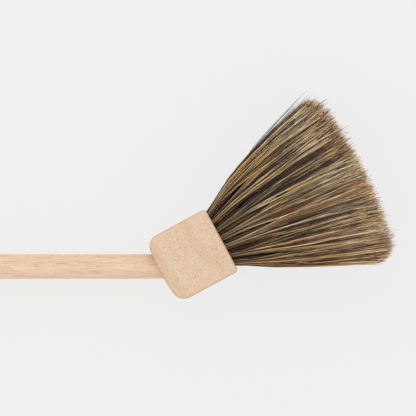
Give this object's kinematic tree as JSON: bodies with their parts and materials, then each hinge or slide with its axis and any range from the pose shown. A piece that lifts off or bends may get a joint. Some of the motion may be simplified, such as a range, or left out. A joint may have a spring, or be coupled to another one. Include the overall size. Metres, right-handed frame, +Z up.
{
  "type": "long-handled sweeping brush",
  "caption": "Sweeping brush with a long round wooden handle, a slanted rounded wooden block and a fan of natural hair.",
  "frame": {"origin": "under the middle of the whole brush as it lies on its side, on the surface it lies on", "axes": "+X along the handle towards the head, +Y across the brush to the side the hair leans to, +Z up, through the thickness of the block"},
  "size_m": [0.9358, 0.1972, 0.0534],
  "materials": {
    "beech_block": "sanded beech, waxed matt",
    "beech_handle": "turned beech, waxed matt",
    "natural_hair": "mixed natural hair, black, brown and straw",
    "anchor_steel": "flat steel strip"
  },
  "bodies": {
    "root": {"head_block": "beech_block", "handle": "beech_handle", "tuft_r1_c1": "natural_hair", "tuft_r1_c2": "natural_hair", "tuft_r1_c3": "natural_hair", "tuft_r1_c4": "natural_hair", "tuft_r1_c5": "natural_hair", "tuft_r1_c6": "natural_hair", "tuft_r1_c7": "natural_hair", "tuft_r2_c1": "natural_hair", "tuft_r2_c2": "natural_hair", "tuft_r2_c3": "natural_hair", "tuft_r2_c4": "natural_hair", "tuft_r2_c5": "natural_hair", "tuft_r2_c6": "natural_hair", "tuft_r3_c1": "natural_hair", "tuft_r3_c2": "natural_hair", "tuft_r3_c3": "natural_hair", "tuft_r3_c4": "natural_hair", "tuft_r3_c5": "natural_hair", "tuft_r3_c6": "natural_hair", "tuft_r3_c7": "natural_hair", "tuft_r4_c1": "natural_hair", "tuft_r4_c2": "natural_hair", "tuft_r4_c3": "natural_hair", "tuft_r4_c4": "natural_hair", "tuft_r4_c5": "natural_hair", "tuft_r4_c6": "natural_hair", "tuft_r5_c1": "natural_hair", "tuft_r5_c2": "natural_hair", "tuft_r5_c3": "natural_hair", "tuft_r5_c4": "natural_hair", "tuft_r5_c5": "natural_hair", "tuft_r5_c6": "natural_hair", "tuft_r5_c7": "natural_hair", "tuft_anchors": "anchor_steel"}
  },
  "joints": []
}
